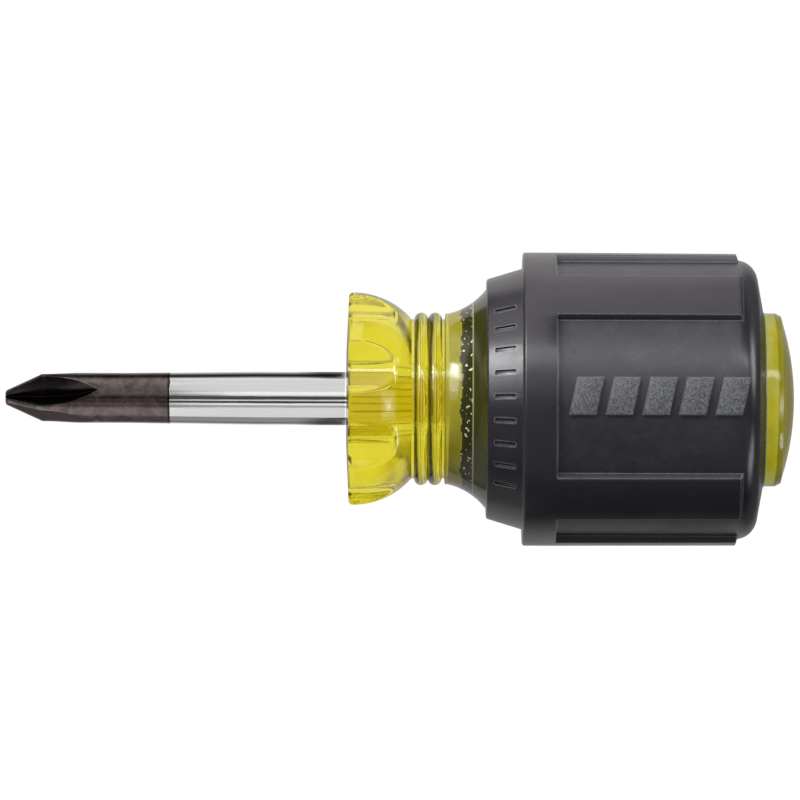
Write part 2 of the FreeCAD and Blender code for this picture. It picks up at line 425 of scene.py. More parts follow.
def bolster_outline():
    """Mouth, seat, front face, rounded rim and the bowl down to the groove."""
    rim_x = rim_setback + rim_round
    face_rim = (rim_setback, bolster_r - rim_round)
    diagonal = rim_round * math.sqrt(0.5)
    rim_middle = (rim_x - diagonal, bolster_r - rim_round + diagonal)
    run = bolster_length - rim_x
    drop = bolster_r - groove_r
    bowl_r = (run * run + drop * drop) / (2 * drop)
    fall = bowl_r - math.sqrt(bowl_r * bowl_r - run * run / 4)
    cut_r = scallop_floor_r - 0.25 * MM
    cut_x = face_x + (rim_setback - face_x) * (cut_r - seat_r) / (face_rim[1] - seat_r)
    outline = [(mouth_depth, socket_r), (face_x, mouth_r)]
    outline += straight(outline[-1], (face_x, seat_r), 3)
    outline += straight(outline[-1], (cut_x, cut_r), 5)
    outline += straight(outline[-1], face_rim, 12)
    outline += arc(outline[-1], rim_middle, (rim_x, bolster_r), 6)
    outline += arc(outline[-1], (rim_x + run / 2, bolster_r - fall), (bolster_length, groove_r), 36)
    return outline


def bead_outline():
    """The groove, two half round beads and the groove behind them."""
    outline = [(bolster_length + groove_width, groove_r)]
    for index in range(bead_count):
        x = outline[-1][0]
        crest = (x + bead_pitch / 2, groove_r + bead_r)
        outline += arc(outline[-1], crest, (x + bead_pitch, groove_r), 14)
    return outline + [(neck_start, groove_r)]


def tail_outline():
    """Flared neck, spigot, butt band, bevel and dome, back to the axis."""
    middle = (neck_start + (grip_x - neck_start) / 2, neck_r + flare_rise_share * (spigot_r - neck_r))
    butt_end = dome_x - dome_height - butt_bevel
    dome_r = butt_r - butt_bevel_depth
    sphere_r = (dome_r * dome_r + dome_height * dome_height) / (2 * dome_height)
    half_x = dome_x - sphere_r + math.sqrt(sphere_r * sphere_r - dome_r * dome_r / 4)
    outline = fillet((neck_start, groove_r), (neck_start, neck_r), middle, neck_round, 3)
    outline += arc((neck_start + neck_round, neck_r), middle, (grip_x, spigot_r), 36)
    outline += straight(outline[-1], (spigot_end, spigot_r), 5)
    outline += [(spigot_end, butt_r)]
    outline += straight(outline[-1], (sleeve_end - 0.05 * MM, butt_r), 3)
    outline += straight(outline[-1], (butt_end - facet_start, butt_r), 2)
    outline += straight(outline[-1], (butt_end + facet_end, butt_r - facet_depth), 2)
    outline += straight(outline[-1], (butt_end + butt_bevel, dome_r), 2)
    outline += arc(outline[-1], (half_x, dome_r / 2), (dome_x, 0), 14)
    return outline


socket_end = tang_end + fit
core_outline = [(socket_end, 0), (socket_end, socket_r)]
core_outline += bolster_outline() + bead_outline() + tail_outline()
core_steps = 384
core = turned("screwdriver_handle_core", core_outline, core_steps)
report(core)


# %% Draw in the thumb scallops
def scallop_radius(angle):
    """How far from the axis the nearest scallop's surface lies in this direction."""
    pitch = 360 / scallop_count
    turn = math.radians((angle - scallop_turn + pitch / 2) % pitch - pitch / 2)
    centre = scallop_floor_r + scallop_cutter_r
    across = centre * math.sin(turn)
    if abs(across) >= scallop_cutter_r:
        return 2 * bolster_r
    return centre * math.cos(turn) - math.sqrt(scallop_cutter_r ** 2 - across ** 2)


def soft_least(a, b, width):
    """The smaller of two radii, rounded where they cross."""
    near = max(width - abs(a - b), 0) / width
    return min(a, b) - near * near * width / 4


edge_width = 0.30 * MM
wall_width = 0.12 * MM
moved = 0
for vertex in core.data.vertices:
    x, y, z = vertex.co
    r = math.hypot(y, z)
    if x < scallop_end + wall_width and r > seat_r:
        cut_r = soft_least(r, scallop_radius(math.degrees(math.atan2(y, z))), edge_width)
        back = min(1, max(0, (x - scallop_end) / wall_width))
        factor = (cut_r + (r - cut_r) * back) / r
        vertex.co = (x, y * factor, z * factor)
        moved += factor < 1
print(moved, "vertices drawn in for", scallop_count, "scallops")

# %% Mould the core round the wings
deselect()
bpy.ops.mesh.primitive_cube_add(size=1, location=wing_middle)
pocket = bpy.context.object
pocket.scale = (wing_length + 2 * fit, wing_width + 2 * fit, wing_thickness + 2 * fit)
freeze(pocket)
combine(core, pocket, "DIFFERENCE")
report(core)

# %% [markdown]
# ## Cushion grip
# The sleeve is moulded over the core: a sloping collar, a band, and a barrel with six ribs. The
# outline is spun with so many steps that a rib's side is one step wide. The ribs are then raised
# by scaling their columns away from the axis, so they run into the band without a seam.


# %% Turn the sleeve
def sleeve_outline():
    """Collar, band and barrel outside, then the rear face, the hole for the butt and the bore."""
    front = (grip_x, collar_front_r)
    rise = (collar_end, collar_rear_r)
    step = (collar_end, band_r)
    back = (band_end, band_r)
    foot = (band_end, barrel_r)
    corner = (sleeve_end - rear_sag, barrel_r)
    hole = (sleeve_end, rear_hole_r)
    outline = [(grip_x, bore_r)]
    outline += fillet(outline[-1], front, rise, lip_round, 4)
    outline += fillet(front, rise, step, collar_round, 3)
    outline += fillet(rise, step, back, band_front_round, 4)
    outline += fillet(step, back, foot, band_rear_round, 3)
    outline += fillet(back, foot, corner, foot_round, 3)
    shoulder = fillet(foot, corner, hole, shoulder_round, 14)
    outline += straight(outline[-1], (shoulder[0][0] - 0.1 * MM, barrel_r), 14) + shoulder
    outline += straight(outline[-1], (sleeve_end - hole_chamfer, rear_hole_r + hole_chamfer), 6)
    outline += [hole, (pocket_x, rear_hole_r), (pocket_x, bore_r)]
    return outline + straight(outline[-1], (grip_x, bore_r), 3)


sleeve_steps = 384
rings = sleeve_outline()
sleeve = turned("screwdriver_cushion_grip", rings, sleeve_steps)
report(sleeve)


# %% Raise the six ribs
def angle_between(y, z, direction):
    """Degrees from a direction about X to a point, between -180 and 180."""
    return (math.degrees(math.atan2(y, z)) - direction + 180) % 360 - 180


def crown_radius(x):
    """The ribs leave the band flush and fall a little towards the rear."""
    return band_r + (rib_r - band_r) * (x - band_end) / (sleeve_end - band_end)


ribs = {45: diagonal_rib_setback, 135: diagonal_rib_setback, 225: diagonal_rib_setback}
ribs |= {315: diagonal_rib_setback, 90: side_rib_setback, 270: side_rib_setback}
only(sleeve)
bpy.ops.object.mode_set(mode="EDIT")
bpy.ops.mesh.select_mode(type="VERT")
for x, r in rings:
    if x < band_end - 0.2 * MM or r < barrel_r - 0.3 * MM or x > sleeve_end - diagonal_rib_setback:
        continue
    bpy.ops.mesh.select_all(action="DESELECT")
    mesh = bmesh.from_edit_mesh(sleeve.data)
    ends = [turn for turn, setback in ribs.items() if x < sleeve_end - setback - 0.2 * MM]
    for vertex in mesh.verts:
        vx, vy, vz = vertex.co
        if abs(vx - x) < 0.001 * MM and abs(math.hypot(vy, vz) - r) < 0.001 * MM:
            vertex.select = any(abs(angle_between(vy, vz, turn)) < rib_half_angle + 0.1 for turn in ends)
    bmesh.update_edit_mesh(sleeve.data)
    grow = crown_radius(max(x, band_end)) / r
    bpy.ops.transform.resize(value=(1, grow, grow), center_override=(0, 0, 0))
bpy.ops.mesh.select_all(action="SELECT")
bpy.ops.mesh.remove_doubles(threshold=0.01 * MM)
bpy.ops.object.mode_set(mode="OBJECT")
report(sleeve)


# %% Round the ribs' edges
def rib_edge(middle, edge):
    """Convex edges above the barrel, behind the band."""
    outside = math.hypot(middle.y, middle.z) > barrel_r + 0.35 * MM
    return outside and middle.x > band_end + 0.05 * MM and edge.calc_face_angle() > math.radians(25)


print(select_edges(sleeve, rib_edge), "rib edges rounded")
bpy.ops.mesh.bevel(offset=rib_edge_round, segments=3, affect="EDGES", clamp_overlap=True)
bpy.ops.object.mode_set(mode="OBJECT")
report(sleeve)

# %% [markdown]
# The broad panels of the real grip carry raised moulded marks and its collar carries pressed ones.
# Here both are plain patterns: a row of slanted pads, and a row of short ticks. The pads are one
# block, slanted in edit mode, copied along the panel and cut to a crown that follows the barrel.


# %% Raised pads on the two panels
def pad_row():
    """The slanted blocks on the panel at +Z, joined."""
    length = pad_pitch - pad_gap
    root_r = barrel_r - 0.4 * MM
    row = []
    for index in range(pad_count):
        middle_x = pad_start + index * pad_pitch + (length + pad_slant) / 2
        deselect()
        bpy.ops.mesh.primitive_cube_add(size=1, location=(middle_x, 0, root_r + 1 * MM))
        pad = bpy.context.object
        pad.scale = (length, pad_height, 2 * MM)
        freeze(pad)
        bpy.ops.object.mode_set(mode="EDIT")
        bpy.ops.mesh.select_mode(type="VERT")
        for side in (-1, 1):
            bpy.ops.mesh.select_all(action="DESELECT")
            mesh = bmesh.from_edit_mesh(pad.data)
            for vertex in mesh.verts:
                vertex.select = vertex.co.y * side > 0
            bmesh.update_edit_mesh(pad.data)
            bpy.ops.transform.translate(value=(side * pad_slant / 2, 0, 0))
        bpy.ops.object.mode_set(mode="OBJECT")
        row.append(pad)
    return join(row)


pads = pad_row()
crown_r = barrel_r + pad_rise
crown_outline = [(band_end, 0), (band_end, crown_r), (sleeve_end, crown_r), (sleeve_end, 0)]
crown = turned("crown", crown_outline, sleeve_steps)
combine(pads, crown, "INTERSECT")


def pad_edge(middle, edge):
    """Sharp edges that will stand out of the barrel."""
    outside = math.hypot(middle.y, middle.z) > barrel_r + 0.05 * MM
    return outside and edge.calc_face_angle() > math.radians(40)


print(select_edges(pads, pad_edge), "pad edges rounded")
bpy.ops.mesh.bevel(offset=pad_edge_round, segments=2, affect="EDGES", clamp_overlap=True)
bpy.ops.object.mode_set(mode="OBJECT")
report(pads)


# %% Pressed ticks round the collar
def collar_tick():
    """A short groove at +Z, sunk into the collar's sloping face."""
    middle_r = (collar_front_r + collar_rear_r) / 2
    slope = math.atan2(collar_rear_r - collar_front_r, collar_end - grip_x)
    deselect()
    bpy.ops.mesh.primitive_cube_add(size=1)
    tick = bpy.context.object
    tick.scale = (tick_length, tick_width, 1 * MM)
    tick.location = (0, 0, 0.5 * MM - tick_depth)
    freeze(tick)
    bpy.ops.object.mode_set(mode="EDIT")
    bpy.ops.mesh.select_all(action="SELECT")
    bpy.ops.mesh.bevel(offset=tick_round, segments=3, affect="EDGES")
    bpy.ops.object.mode_set(mode="OBJECT")
    place = Matrix.Translation(((grip_x + collar_end) / 2, 0, middle_r))
    tick.data.transform(place @ Matrix.Rotation(-slope, 4, "Y"))
    return tick


# %% Join the pads and ticks to the sleeve
tick = collar_tick()
tools = []
for side in (0, 180):
    for index in range(tick_count):
        turn = side + (index - (tick_count - 1) / 2) * tick_pitch
        tools.append(turn_copy(tick, turn))
combine(sleeve, join(tools), "DIFFERENCE")
bpy.data.objects.remove(tick)
combine(sleeve, turn_copy(pads, 180), "UNION")
combine(sleeve, pads, "UNION")
report(sleeve)

# %% Smooth shading, and each piece on its body
for piece, node, slot in (
    (blade, "blade", "steel"),
    (core, "handle_core", "acetate"),
    (sleeve, "cushion_grip", "rubber"),
):
    only(piece)
    bpy.ops.object.shade_smooth_by_angle(angle=math.radians(28))
    piece.data.materials.clear()
    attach(piece, "root")
    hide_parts(node)

# %% [markdown]
# ## Finishes
# Every finish reads the Object coordinates of its piece, which are metres in the tool's frame.
# Grain, smudges and pale edges show on more than one material, so each is a node group with
# named sockets, and a material gives it its own size and amount. The pale edges are wear on the
# blade and painted highlights on the rubber.


# %% Helpers for nodes
def add(tree, kind, **values):
    """Adds a node and sets the inputs named by the keywords, with _ for a space."""
    node = tree.nodes.new("ShaderNode" + kind)
    for key, value in values.items():
        if hasattr(node, key):
            setattr(node, key, value)
        else:
            node.inputs[key.replace("_", " ")].default_value = value
    return node


def math_node(tree, operation, first, second):
    """A Math node. Each input is a socket or a number."""
    node = tree.nodes.new("ShaderNodeMath")
    node.operation = operation
    for socket, value in zip(node.inputs, (first, second)):
        if isinstance(value, (int, float)):
            socket.default_value = value
        else:
            tree.links.new(value, socket)
    return node.outputs["Value"]


def span(tree, value, low, high, to_low=0, to_high=1):
    """Maps a value from one span to another, clamped at its ends."""
    node = add(tree, "MapRange", From_Min=low, From_Max=high, To_Min=to_low, To_Max=to_high)
    tree.links.new(value, node.inputs["Value"])
    return node.outputs["Result"]


def blend_colours(tree, factor, first, second):
    """A colour mixed between two by a factor. Each is a socket or a colour."""
    node = add(tree, "Mix", data_type="RGBA")
    for socket, value in ((node.inputs[0], factor), (node.inputs[6], first), (node.inputs[7], second)):
        if isinstance(value, bpy.types.NodeSocket):
            tree.links.new(value, socket)
        else:
            socket.default_value = value
    return node.outputs[2]


def new_group(name, inputs, outputs):
    """A node group with float inputs, each with its default, a Vector input, and float outputs."""
    tree = bpy.data.node_groups.new(name, "ShaderNodeTree")
    tree.interface.new_socket("Vector", in_out="INPUT", socket_type="NodeSocketVector")
    for socket, default in inputs.items():
        made = tree.interface.new_socket(socket, in_out="INPUT", socket_type="NodeSocketFloat")
        made.default_value = default
    for socket in outputs:
        tree.interface.new_socket(socket, in_out="OUTPUT", socket_type="NodeSocketFloat")
    return tree, tree.nodes.new("NodeGroupInput"), tree.nodes.new("NodeGroupOutput")


# %% Group: moulded grain
def grain_group():
    """Fine grain of a moulded or etched surface, as a height between 0 and 1."""
    tree, given, made = new_group("moulded_grain", {"Size": 0.2 * MM, "Roughness": 0.6}, ["Height"])
    noise = add(tree, "TexNoise", Detail=3)
    tree.links.new(given.outputs["Vector"], noise.inputs["Vector"])
    tree.links.new(math_node(tree, "DIVIDE", 1, given.outputs["Size"]), noise.inputs["Scale"])
    tree.links.new(given.outputs["Roughness"], noise.inputs["Roughness"])
    tree.links.new(noise.outputs["Fac"], made.inputs["Height"])
    return tree


# %% Group: handling smudges
def smudge_group():
    """Soft patches from hands, as a value between Low and High."""
    tree, given, made = new_group("handling_smudges", {"Size": 8 * MM, "Low": 0.3, "High": 0.4}, ["Value"])
    noise = add(tree, "TexNoise", Detail=5, Roughness=0.62, Distortion=0.4)
    tree.links.new(given.outputs["Vector"], noise.inputs["Vector"])
    tree.links.new(math_node(tree, "DIVIDE", 1, given.outputs["Size"]), noise.inputs["Scale"])
    ramp = add(tree, "MapRange", From_Min=0.35, From_Max=0.7)
    tree.links.new(noise.outputs["Fac"], ramp.inputs["Value"])
    tree.links.new(given.outputs["Low"], ramp.inputs["To Min"])
    tree.links.new(given.outputs["High"], ramp.inputs["To Max"])
    tree.links.new(ramp.outputs["Result"], made.inputs["Value"])
    return tree


# %% Group: worn edges and painted edge highlights
def edge_group():
    """1 on sharp edges and 0 on flats, broken up a little by noise."""
    tree, given, made = new_group("edge_wear_and_painted_highlight", {"Radius": 0.1 * MM, "Gain": 4.0}, ["Mask"])
    rounded = add(tree, "Bevel", samples=6)
    tree.links.new(given.outputs["Radius"], rounded.inputs["Radius"])
    flat = add(tree, "NewGeometry")
    dot = add(tree, "VectorMath", operation="DOT_PRODUCT")
    tree.links.new(rounded.outputs["Normal"], dot.inputs[0])
    tree.links.new(flat.outputs["Normal"], dot.inputs[1])
    bend = math_node(tree, "SUBTRACT", 1, dot.outputs["Value"])
    gained = math_node(tree, "MULTIPLY", bend, given.outputs["Gain"])
    noise = add(tree, "TexNoise", Scale=1 / (0.6 * MM), Detail=3)
    tree.links.new(given.outputs["Vector"], noise.inputs["Vector"])
    broken = math_node(tree, "MULTIPLY", gained, span(tree, noise.outputs["Fac"], 0.3, 0.6, 0.4, 1))
    tree.links.new(math_node(tree, "MINIMUM", broken, 1), made.inputs["Mask"])
    return tree


grain, smudges, edges = grain_group(), smudge_group(), edge_group()
print("node groups:", grain.name, smudges.name, edges.name)


# %% Helpers for materials
def new_material(name):
    """A material, its tree, its Principled shader and its Object coordinates."""
    material = bpy.data.materials.new(name)
    material.use_nodes = True
    tree = material.node_tree
    shader = tree.nodes["Principled BSDF"]
    return material, tree, shader, add(tree, "TexCoord").outputs["Object"]


def place_group(tree, group, place, **values):
    """Places a node group with its own values and gives its output."""
    node = tree.nodes.new("ShaderNodeGroup")
    node.node_tree = group
    tree.links.new(place, node.inputs["Vector"])
    for key, value in values.items():
        node.inputs[key].default_value = value
    return node.outputs[0]


def bump(tree, shader, height, depth, under=None):
    """Feeds a height between 0 and 1 to the shader's normal, as a relief of this depth."""
    node = add(tree, "Bump", Strength=1.0, Distance=depth)
    tree.links.new(height, node.inputs["Height"])
    if under:
        tree.links.new(under, node.inputs["Normal"])
    tree.links.new(node.outputs["Normal"], shader.inputs["Normal"])
    return node.outputs["Normal"]


def axes(tree, place):
    """The X, Y and Z of a vector, and the distance from the tool's axis."""
    split = add(tree, "SeparateXYZ")
    tree.links.new(place, split.inputs[0])
    x, y, z = split.outputs
    squares = math_node(tree, "ADD", math_node(tree, "MULTIPLY", y, y), math_node(tree, "MULTIPLY", z, z))
    return x, y, z, math_node(tree, "SQRT", squares, 0)


# %% [markdown]
# The blade is chrome plated, and its tip is blackened after grinding so that it bites. Both are one
# metal shader whose colour and roughness change along X. The milled flute faces are darker and the
# oxide is rubbed off sharp edges, so a mask of the milled faces and the worn edges come on top.

# %% Blade: chrome plate, blackened at the tip
def inside_flutes(tree, x, r):
    """1 below the turned surface of the tip, which is the milled flutes, and 0 on it."""
    slope = math.tan(math.radians(tip_cone_angle))
    run = math_node(tree, "SUBTRACT", x, tip_x + nose_length)
    cone = math_node(tree, "ADD", math_node(tree, "MULTIPLY", run, slope), nose_end_r)
    depth = math_node(tree, "SUBTRACT", math_node(tree, "MINIMUM", cone, tip_shank_r), r)
    return span(tree, depth, 0.05 * MM, 0.16 * MM)


def blade_finish():
    """Oxide at the tip, chrome on the shank, and plain bright steel where the plastic covers it."""
    material, tree, shader, place = new_material("chrome_blackened_tip")
    x, y, z, r = axes(tree, place)
    wobble = add(tree, "TexNoise", Scale=1 / (1.2 * MM), Detail=2)
    tree.links.new(place, wobble.inputs["Vector"])
    drift = span(tree, wobble.outputs["Fac"], 0.3, 0.7, -0.06 * MM, 0.06 * MM)
    edge_x = math_node(tree, "ADD", x, drift)
    black = span(tree, edge_x, black_end - 0.03 * MM, black_end + 0.03 * MM, 1, 0)
    rim = math_node(tree, "MULTIPLY", black, span(tree, edge_x, black_end - 0.35 * MM, black_end - 0.1 * MM))
    drawn = add(tree, "Mapping", Scale=(0.02, 1, 1))
    tree.links.new(place, drawn.inputs["Vector"])
    lines = place_group(tree, grain, drawn.outputs["Vector"], Size=0.09 * MM)
    soot = place_group(tree, smudges, place, Size=1.0 * MM, Low=0, High=1)
    edge_wear_and_highlight = place_group(tree, edges, place, Radius=0.10 * MM, Gain=16.0)
    chrome = blend_colours(tree, lines, (0.58, 0.58, 0.575, 1), (0.72, 0.715, 0.705, 1))
    chrome = blend_colours(tree, span(tree, x, -0.1 * MM, 0), chrome, (0.96, 0.96, 0.93, 1))
    oxide = blend_colours(tree, soot, (0.095, 0.074, 0.070, 1), (0.190, 0.154, 0.148, 1))
    # The milled flute faces are made darker.
    oxide = blend_colours(tree, inside_flutes(tree, x, r), oxide, (0.040, 0.033, 0.031, 1))
    oxide = blend_colours(tree, rim, oxide, (0.020, 0.014, 0.012, 1))
    oxide = blend_colours(tree, edge_wear_and_highlight, oxide, (0.40, 0.37, 0.36, 1))
    tree.links.new(blend_colours(tree, black, chrome, oxide), shader.inputs["Base Color"])
    polished = span(tree, lines, 0.3, 0.7, 0.04, 0.11)
    sooty = span(tree, soot, 0, 1, 0.17, 0.27)
    rougher = math_node(tree, "MULTIPLY", black, math_node(tree, "SUBTRACT", sooty, polished))
    tree.links.new(math_node(tree, "ADD", polished, rougher), shader.inputs["Roughness"])
    pits = place_group(tree, grain, place, Size=0.10 * MM)
    drawn_relief = math_node(tree, "MULTIPLY", lines, 0.12)
    pitted = math_node(tree, "MULTIPLY", pits, black)
    bump(tree, shader, math_node(tree, "ADD", drawn_relief, pitted), 0.006 * MM)
    shader.inputs["Metallic"].default_value = 1.0
    return material


blade.data.materials.append(blade_finish())


# %% [markdown]
# Acetate is clear where it was polished and cloudy where it was rubbed or touches the rubber. On the
# butt band behind the rubber the cloudy acetate is also painted shade: it darkens the band there.
# A plain Transmission Weight can't change over a surface, so the core has two acetates and its
# faces choose between them. Depth of colour comes from absorption inside the plastic.

# %% Core: clear yellow acetate, cloudier on its butt and neck
def acetate(name, dark, light, low, high, clear):
    """Tinted plastic. Low and high are its roughness, and clear is how much of it is see-through."""
    material, tree, shader, place = new_material(name)
    hands = place_group(tree, smudges, place, Size=3 * MM, Low=low, High=high)
    tree.links.new(hands, shader.inputs["Roughness"])
    tint = place_group(tree, smudges, place, Size=5 * MM, Low=0, High=1)
    tree.links.new(blend_colours(tree, tint, dark, light), shader.inputs["Base Color"])
    flow = add(tree, "TexNoise", Scale=1 / (2.5 * MM), Detail=2, Distortion=0.5)
    tree.links.new(place, flow.inputs["Vector"])
    bump(tree, shader, flow.outputs["Fac"], 0.012 * MM)
    shader.inputs["Transmission Weight"].default_value = clear
    shader.inputs["IOR"].default_value = 1.48
    depth = add(tree, "VolumeAbsorption", Color=(0.97, 0.95, 0.30, 1), Density=34)
    tree.links.new(depth.outputs["Volume"], tree.nodes["Material Output"].inputs["Volume"])
    return material


clear_dark, clear_light = (0.75, 0.665, 0.042, 1), (0.84, 0.745, 0.064, 1)
core.data.materials.append(acetate("clear_yellow_acetate", clear_dark, clear_light, 0.06, 0.13, 0.945))
cloudy_dark, cloudy_light = (0.50, 0.455, 0.022, 1), (0.66, 0.605, 0.042, 1)
core.data.materials.append(acetate("cloudy_yellow_acetate", cloudy_dark, cloudy_light, 0.09, 0.17, 0.60))
skin_x = grip_x - 2.75 * MM
cloudy = 0
for face in core.data.polygons:
    x, y, z = face.center
    outside = math.hypot(y, z) > neck_r - 0.1 * MM
    # The butt band behind the sleeve is cloudy too. Its darker tone there is painted shade between the
    # sleeve and the bevel.
    if x > sleeve_end - 0.05 * MM or (neck_start < x < skin_x and outside):
        face.material_index = 1
        cloudy += 1
print(cloudy, "faces of the butt and neck are cloudy")


# %% [markdown]
# The rubber grips the core through a thin bonded skin that shows through the clear neck, with a
# ragged front edge. It has no thickness to see, so it is a third material on the core's own
# faces, and a sum of waves makes its edge ragged.

# %% Where the rubber is bonded to the core
lip_x = grip_x - 1.50 * MM


def bond_finish():
    """Black rubber seen through the clear core.

    In the neck its thin skin is flecked with adhesive, then a pale line and an even lip follow."""
    material, tree, shader, place = new_material("bonded_rubber_skin")
    x = axes(tree, place)[0]
    fleck = add(tree, "TexNoise", Scale=1 / (0.40 * MM), Detail=1)
    tree.links.new(place, fleck.inputs["Vector"])
    few = span(tree, fleck.outputs["Fac"], 0.655, 0.68)
    front = span(tree, x, lip_x - 0.1 * MM, lip_x, 1, 0)
    lip = span(tree, x, lip_x, lip_x + 0.1 * MM)
    inside = span(tree, x, grip_x, grip_x + 0.1 * MM)
    skin = blend_colours(tree, lip, (0.022, 0.023, 0.004, 1), (0.030, 0.033, 0.005, 1))
    skin = blend_colours(tree, inside, skin, (0.012, 0.014, 0.004, 1))
    skin = blend_colours(tree, math_node(tree, "MULTIPLY", few, front), skin, (0.55, 0.56, 0.38, 1))
    line = math_node(tree, "MULTIPLY", span(tree, x, lip_x - 0.12 * MM, lip_x - 0.04 * MM),
                     span(tree, x, lip_x + 0.02 * MM, lip_x + 0.10 * MM, 1, 0))
    tree.links.new(blend_colours(tree, line, skin, (0.24, 0.24, 0.12, 1)), shader.inputs["Base Color"])
    shader.inputs["Roughness"].default_value = 0.16
    shader.inputs["IOR"].default_value = 1.48
    return material


core.data.materials.append(bond_finish())
bonded = 0
for face in core.data.polygons:
    x, y, z = face.center
    turn = math.atan2(y, z)
    ragged = 0.14 * math.sin(9 * turn) + 0.10 * math.sin(23 * turn + 1) + 0.07 * math.sin(41 * turn)
    skin_starts = skin_x + ragged * MM
    if skin_starts < x < sleeve_end - 0.05 * MM and math.hypot(y, z) > butt_r - 0.1 * MM:
        face.material_index = 2
        bonded += 1
print(bonded, "faces of the core are bonded to rubber")


# %% [markdown]
# The rubber is satin from its mould, shiny where hands polish it and dusty on the low panels. Its
# edges are painted paler, as painted highlights. The pads have a coarse etched grain on their tops
# only, so those faces are picked by their distance from the axis and get a material of their own.

# %% Sleeve: satin black rubber, and the coarser grain on its raised pads
def satin_rubber():
    """Satin skin, duller and a little dusty on the low panels between the ribs, with painted highlights on
    its edges.
    """
    material, tree, shader, place = new_material("satin_black_rubber")
    x, y, z, r = axes(tree, place)
    behind = span(tree, x, band_end, band_end + 0.3 * MM)
    before = span(tree, x, sleeve_end - 4.5 * MM, sleeve_end - 2.5 * MM, 1, 0)
    low = span(tree, r, barrel_r + 0.05 * MM, barrel_r + 0.15 * MM, 1, 0)
    dull = math_node(tree, "MULTIPLY", low, math_node(tree, "MULTIPLY", behind, before))
    hands = place_group(tree, smudges, place, Size=6 * MM, Low=0.25, High=0.33)
    rough = math_node(tree, "ADD", hands, math_node(tree, "MULTIPLY", dull, 0.12))
    tree.links.new(rough, shader.inputs["Roughness"])
    dust = place_group(tree, smudges, place, Size=1.6 * MM, Low=0, High=0.6)
    specks = place_group(tree, grain, place, Size=0.22 * MM)
    dusty = math_node(tree, "MULTIPLY", dust, span(tree, specks, 0.35, 0.75))
    settled = math_node(tree, "MULTIPLY", dusty, span(tree, dull, 0, 1, 0.3, 1))
    mottled = blend_colours(tree, settled, (0.0125, 0.0115, 0.0150, 1), (0.050, 0.052, 0.058, 1))
    # The paler colour along the edges of ribs, pads and band is a painted highlight.
    edge_wear_and_highlight = place_group(tree, edges, place, Radius=0.22 * MM, Gain=15.0)
    tree.links.new(blend_colours(tree, edge_wear_and_highlight, mottled, (0.13, 0.13, 0.137, 1)), shader.inputs["Base Color"])
    flow = add(tree, "TexNoise", Scale=1 / (2.2 * MM), Detail=1)
    tree.links.new(place, flow.inputs["Vector"])
    under = bump(tree, shader, flow.outputs["Fac"], 0.010 * MM)
    bump(tree, shader, specks, 0.004 * MM, under)
    shader.inputs["Specular IOR Level"].default_value = 0.5
    return material


def grained_rubber():
    """Coarse etched grain, rubbed pale on its high spots."""
    material, tree, shader, place = new_material("grained_pad_tops")
    coarse = place_group(tree, grain, place, Size=0.20 * MM, Roughness=0.7)
    rubbed = span(tree, coarse, 0.38, 0.68)
    colour = blend_colours(tree, rubbed, (0.022, 0.024, 0.028, 1), (0.130, 0.135, 0.142, 1))
    tree.links.new(colour, shader.inputs["Base Color"])
    tree.links.new(span(tree, coarse, 0.3, 0.7, 0.45, 0.62), shader.inputs["Roughness"])
    bump(tree, shader, coarse, 0.045 * MM)
    return material


sleeve.data.materials.append(satin_rubber())
sleeve.data.materials.append(grained_rubber())
tops = 0
for face in sleeve.data.polygons:
    r = math.hypot(face.center.y, face.center.z)
    in_row = pad_start < face.center.x < sleeve_end - 1.5 * MM and abs(face.center.y) < pad_height / 2
    if in_row and r > crown_r - 0.03 * MM:
        face.material_index = 1
        tops += 1
print(tops, "faces are pad tops")

# %% [markdown]
# ## Studio
# The tool is shown on a bright light table, so the clear core glows from below. The rubber wants
# one broad soft light from the upper side, and chrome shows whatever stands round it as stripes,
# so the blade gets its own row of soft panels. Light linking keeps the two sets apart. The
# table is dimmer and uneven in reflections, as if dark cloths lay round the tool.


# %% Light table and surroundings
def profile(tree, value, stops):
    """Follows straight lines between stops of (place in mm, strength)."""
    first, last = stops[0][0], stops[-1][0]
    top = max(strength for place, strength in stops)
    node = add(tree, "ValToRGB")
    elements = node.color_ramp.elements
    for place, strength in stops[1:-1]:
        elements.new((place - first) / (last - first))
    for element, (place, strength) in zip(elements, stops):
        element.color = (strength / top, strength / top, strength / top, 1)
    tree.links.new(span(tree, value, first * MM, last * MM), node.inputs["Fac"])
    return math_node(tree, "MULTIPLY", node.outputs["Color"], top)


def lit_from_behind(tree, target, seen, reflected):
    """Emission that is bright to the eye and through clear plastic, and dimmer in reflections.

    Gives the mask of what is seen directly."""
    path = add(tree, "LightPath")
    direct = math_node(tree, "MAXIMUM", path.outputs["Is Camera Ray"], path.outputs["Is Transmission Ray"])
    bright = math_node(tree, "MULTIPLY", direct, seen)
    dim = math_node(tree, "MULTIPLY", math_node(tree, "SUBTRACT", 1, direct), reflected)
    tree.links.new(math_node(tree, "ADD", bright, dim), target)
    return direct


